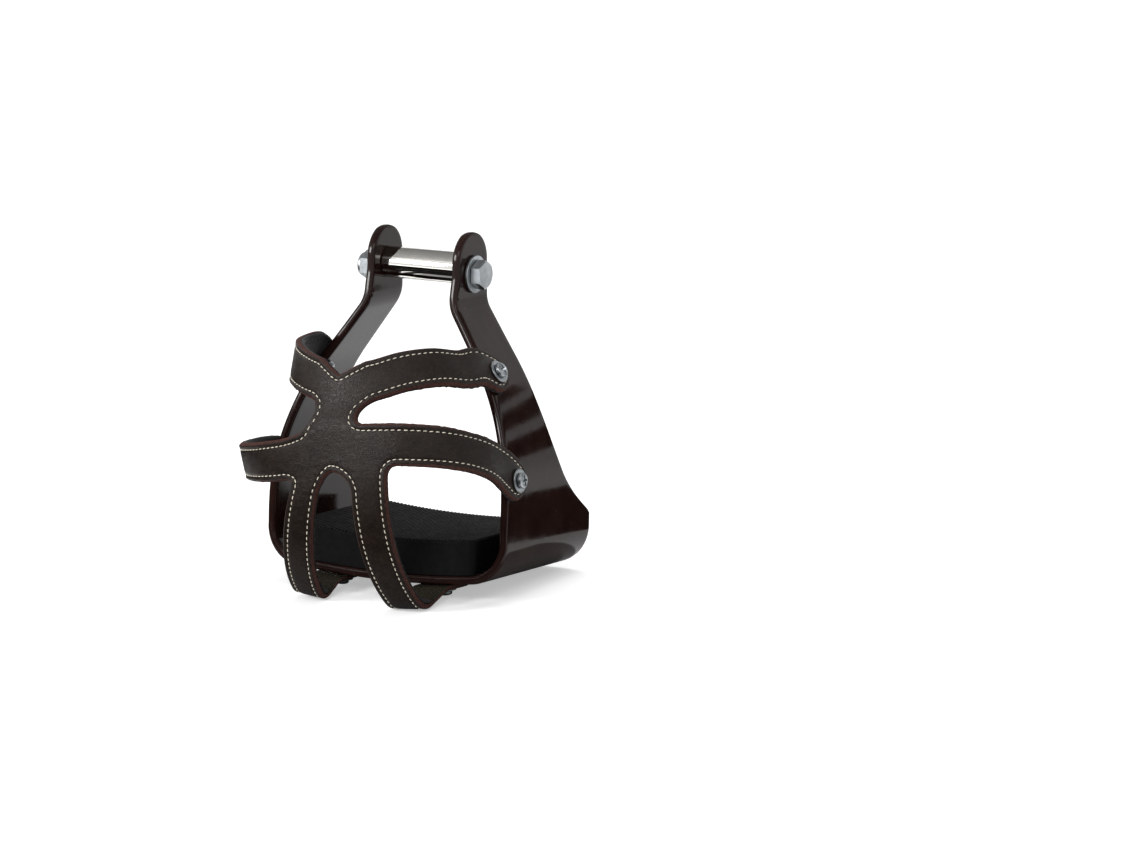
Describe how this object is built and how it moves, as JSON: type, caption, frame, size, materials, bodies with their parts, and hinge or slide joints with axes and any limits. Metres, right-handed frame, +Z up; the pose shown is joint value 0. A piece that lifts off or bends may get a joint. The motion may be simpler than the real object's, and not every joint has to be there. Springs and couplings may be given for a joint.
{
  "type": "caged riding stirrup",
  "caption": "Western riding stirrup: bent bar frame, spinning leather roller, ribbed rubber tread and a looped leather toe cage that stops the foot sliding through.",
  "frame": {"origin": "middle of the footprint, on the ground: under the centre of the whole stirrup, where it stands on the rear edge of its tread and on the turns of the two cage straps", "axes": "+X along the roller bolt towards its hex head, +Y out of the open back where the foot goes in, +Z up; the toe cage faces -Y and the stirrup leans back 4.5 degrees as it does when it stands by itself"},
  "size_m": [0.1542, 0.146, 0.1781],
  "materials": {
    "paint": "gloss dark brown enamel",
    "chrome": "polished",
    "zinc": "bright zinc plate",
    "nylon": "matt blue",
    "rubber": "matt black, ribbed",
    "leather": "dark oiled leather with raw reddish edges",
    "backing": "soft black backing"
  },
  "bodies": {
    "stirrup": {"stirrup_frame": "paint", "roller_bolt": "zinc", "bolt_head_washer": "zinc", "nut_washer": "zinc", "lock_nut": "zinc", "lock_nut_insert": "nylon", "foot_pad": "rubber", "cage_leather": "leather", "cage_backing": "backing", "right_upper_washer": "zinc", "right_upper_screw": "zinc", "left_upper_washer": "zinc", "left_upper_screw": "zinc", "right_lower_washer": "zinc", "right_lower_screw": "zinc", "left_lower_washer": "zinc", "left_lower_screw": "zinc", "right_strap_washer": "zinc", "right_strap_screw": "zinc", "left_strap_washer": "zinc", "left_strap_screw": "zinc", "pad_screw_right": "zinc", "pad_screw_left": "zinc"},
    "roller": {"roller_sleeve": "chrome"}
  },
  "joints": [
    {"name": "roller_spin", "type": "hinge", "parent": "stirrup", "child": "roller", "pos_m": [0, 0.03375, 0.1595], "axis": [1, 0, 0], "continuous": true}
  ]
}
